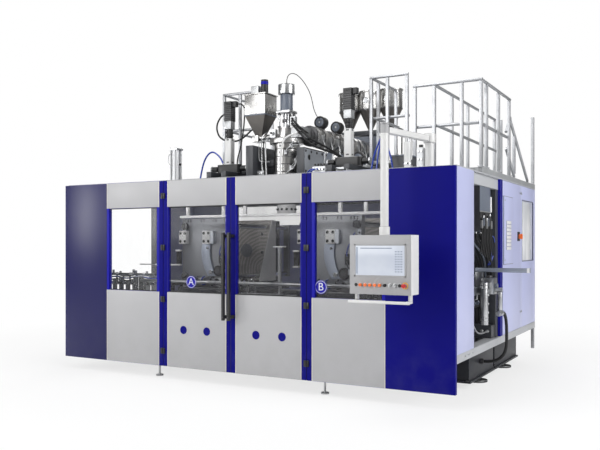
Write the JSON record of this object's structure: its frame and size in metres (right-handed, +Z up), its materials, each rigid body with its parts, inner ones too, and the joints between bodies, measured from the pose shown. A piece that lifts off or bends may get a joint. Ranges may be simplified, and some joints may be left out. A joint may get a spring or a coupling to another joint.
{
  "type": "extrusion blow moulding machine",
  "caption": "Two-station shuttle blow moulding machine for canisters: windowed enclosure with hinged doors, shuttling clamps, extruder with die head and blow pins on top, swing-arm panel.",
  "frame": {"origin": "on the floor, at the centre of the machine's box", "axes": "+X to the right seen from the front, +Y from the front into the machine, +Z up"},
  "size_m": [5.38, 4.294, 3.6063],
  "materials": {
    "frame_grey": "satin",
    "foot_steel": "satin",
    "bright_steel": "polished",
    "panel_blue": "satin",
    "panel_grey": "satin",
    "clear_pane": "clear",
    "side_lavender": "satin",
    "switch_red": "gloss",
    "rail_white": "satin",
    "heater_steel": "brushed",
    "actuator_grey": "satin",
    "dark_paint": "satin",
    "cast_aluminium": "satin",
    "black_case": "matte",
    "hopper_steel": "brushed",
    "panel_white": "satin",
    "bezel_grey": "satin",
    "screen_glass": "gloss",
    "stop_red": "gloss",
    "cord_rubber": "matte",
    "platen_steel": "machined",
    "button_orange": "gloss"
  },
  "bodies": {
    "machine": {"base_frame": "frame_grey", "levelling_feet": "foot_steel", "machine_frame": "frame_grey", "shift_rails": "bright_steel", "corner_panels": "panel_blue", "window_sections": "panel_grey", "section_panes": "clear_pane", "hinge_posts": "panel_blue", "body_panels": "side_lavender", "electrical_cabinet": "side_lavender", "top_deck": "frame_grey", "guard_rails": "rail_white", "access_ladder": "rail_white", "die_head": "heater_steel", "parison_actuator": "actuator_grey", "head_support": "dark_paint", "blow_units": "cast_aluminium", "blow_motors": "black_case", "colour_hopper": "hopper_steel", "extruder_barrel": "heater_steel", "extruder_drive": "actuator_grey", "barrel_blowers": "black_case", "material_hoppers": "hopper_steel", "panel_post": "panel_white", "service_unit": "cast_aluminium", "head_sensor_wire": "cord_rubber", "blow_motor_cable": "cord_rubber", "service_hose": "cord_rubber"},
    "left_door": {"left_door_frame": "panel_grey", "left_door_pane": "clear_pane", "left_door_handle": "black_case"},
    "right_door": {"right_door_frame": "panel_grey", "right_door_pane": "clear_pane", "right_door_handle": "black_case"},
    "panel": {"panel_housing": "panel_white", "panel_front": "bezel_grey", "panel_screen": "screen_glass"},
    "cabinet_front_door": {"cabinet_front_door": "side_lavender"},
    "cabinet_rear_door": {"cabinet_rear_door": "side_lavender"},
    "main_switch": {"main_switch": "switch_red"},
    "parison_mandrel": {"parison_mandrel": "bright_steel"},
    "left_blow_pin": {"left_blow_pin": "bright_steel"},
    "right_blow_pin": {"right_blow_pin": "bright_steel"},
    "panel_arm": {"panel_arm": "panel_white"},
    "emergency_stop": {"emergency_stop": "stop_red"},
    "push_button_1": {"push_button_1": "button_orange"},
    "push_button_2": {"push_button_2": "button_orange"},
    "push_button_3": {"push_button_3": "button_orange"},
    "push_button_4": {"push_button_4": "button_orange"},
    "push_button_5": {"push_button_5": "button_orange"},
    "selector_knob_1": {"selector_knob_1": "black_case"},
    "selector_knob_2": {"selector_knob_2": "black_case"},
    "selector_knob_3": {"selector_knob_3": "black_case"},
    "selector_knob_4": {"selector_knob_4": "black_case"},
    "left_carriage": {"left_carriage": "dark_paint"},
    "left_front_platen": {"left_front_platen": "platen_steel"},
    "left_rear_platen": {"left_rear_platen": "platen_steel"},
    "right_carriage": {"right_carriage": "dark_paint"},
    "right_front_platen": {"right_front_platen": "platen_steel"},
    "right_rear_platen": {"right_rear_platen": "platen_steel"}
  },
  "joints": [
    {"name": "left_door_swing", "type": "hinge", "parent": "machine", "child": "left_door", "pos_m": [-1.14, -1.569, 1.195], "axis": [0, 0, 1], "range_deg": [-110, 0]},
    {"name": "right_door_swing", "type": "hinge", "parent": "machine", "child": "right_door", "pos_m": [0.72, -1.569, 1.195], "axis": [0, 0, 1], "range_deg": [0, 110]},
    {"name": "cabinet_front_door_swing", "type": "hinge", "parent": "machine", "child": "cabinet_front_door", "pos_m": [2.27, 0.205, 1.375], "axis": [0, 0, 1], "range_deg": [-105, 0]},
    {"name": "cabinet_rear_door_swing", "type": "hinge", "parent": "machine", "child": "cabinet_rear_door", "pos_m": [2.27, 1.954, 1.375], "axis": [0, 0, 1], "range_deg": [0, 105]},
    {"name": "main_switch_turn", "type": "hinge", "parent": "cabinet_front_door", "child": "main_switch", "pos_m": [2.28, 0.98704, 1.62], "axis": [1, 0, 0], "range_deg": [0, 90]},
    {"name": "mandrel_shift", "type": "slide", "parent": "machine", "child": "parison_mandrel", "axis": [0, 0, 1], "range_m": [-0.03, 0]},
    {"name": "left_blow_pin_stroke", "type": "slide", "parent": "machine", "child": "left_blow_pin", "axis": [0, 0, 1], "range_m": [-0.3, 0]},
    {"name": "right_blow_pin_stroke", "type": "slide", "parent": "machine", "child": "right_blow_pin", "axis": [0, 0, 1], "range_m": [-0.3, 0]},
    {"name": "panel_arm_swing", "type": "hinge", "parent": "machine", "child": "panel_arm", "pos_m": [1.92, -1.253, 2.55], "axis": [0, 0, 1], "range_deg": [-20, 35]},
    {"name": "panel_turn", "type": "hinge", "parent": "panel_arm", "child": "panel", "pos_m": [1.755, -1.993, 1.65], "axis": [0, 0, 1], "range_deg": [-25, 60]},
    {"name": "push_button_1_press", "type": "slide", "parent": "panel", "child": "push_button_1", "axis": [0, 1, 0], "range_m": [0, 0.005], "stiffness_N_per_m": 600},
    {"name": "push_button_2_press", "type": "slide", "parent": "panel", "child": "push_button_2", "axis": [0, 1, 0], "range_m": [0, 0.005], "stiffness_N_per_m": 600},
    {"name": "push_button_3_press", "type": "slide", "parent": "panel", "child": "push_button_3", "axis": [0, 1, 0], "range_m": [0, 0.005], "stiffness_N_per_m": 600},
    {"name": "push_button_4_press", "type": "slide", "parent": "panel", "child": "push_button_4", "axis": [0, 1, 0], "range_m": [0, 0.005], "stiffness_N_per_m": 600},
    {"name": "push_button_5_press", "type": "slide", "parent": "panel", "child": "push_button_5", "axis": [0, 1, 0], "range_m": [0, 0.005], "stiffness_N_per_m": 600},
    {"name": "selector_knob_1_turn", "type": "hinge", "parent": "panel", "child": "selector_knob_1", "pos_m": [1.8056, -2.113, 1.163], "axis": [0, 1, 0], "range_deg": [-45, 45]},
    {"name": "selector_knob_2_turn", "type": "hinge", "parent": "panel", "child": "selector_knob_2", "pos_m": [1.8522, -2.113, 1.163], "axis": [0, 1, 0], "range_deg": [-45, 45]},
    {"name": "selector_knob_3_turn", "type": "hinge", "parent": "panel", "child": "selector_knob_3", "pos_m": [1.8988, -2.113, 1.163], "axis": [0, 1, 0], "range_deg": [-45, 45]},
    {"name": "selector_knob_4_turn", "type": "hinge", "parent": "panel", "child": "selector_knob_4", "pos_m": [1.9454, -2.113, 1.163], "axis": [0, 1, 0], "range_deg": [-45, 45]},
    {"name": "emergency_stop_press", "type": "slide", "parent": "panel", "child": "emergency_stop", "axis": [0, 1, 0], "range_m": [0, 0.006]},
    {"name": "left_carriage_shift", "type": "slide", "parent": "machine", "child": "left_carriage", "axis": [1, 0, 0], "range_m": [0, 0.84]},
    {"name": "right_carriage_shift", "type": "slide", "parent": "machine", "child": "right_carriage", "axis": [1, 0, 0], "range_m": [-0.84, 0]},
    {"name": "left_front_platen_clamp", "type": "slide", "parent": "left_carriage", "child": "left_front_platen", "axis": [0, 1, 0], "range_m": [0, 0.2]},
    {"name": "left_rear_platen_clamp", "type": "slide", "parent": "left_carriage", "child": "left_rear_platen", "axis": [0, 1, 0], "range_m": [-0.2, 0]},
    {"name": "right_front_platen_clamp", "type": "slide", "parent": "right_carriage", "child": "right_front_platen", "axis": [0, 1, 0], "range_m": [0, 0.2]},
    {"name": "right_rear_platen_clamp", "type": "slide", "parent": "right_carriage", "child": "right_rear_platen", "axis": [0, 1, 0], "range_m": [-0.2, 0]}
  ],
  "couplings": [
    {"joint": "left_rear_platen_clamp", "follows": "left_front_platen_clamp", "ratio": -1},
    {"joint": "right_rear_platen_clamp", "follows": "right_front_platen_clamp", "ratio": -1}
  ]
}
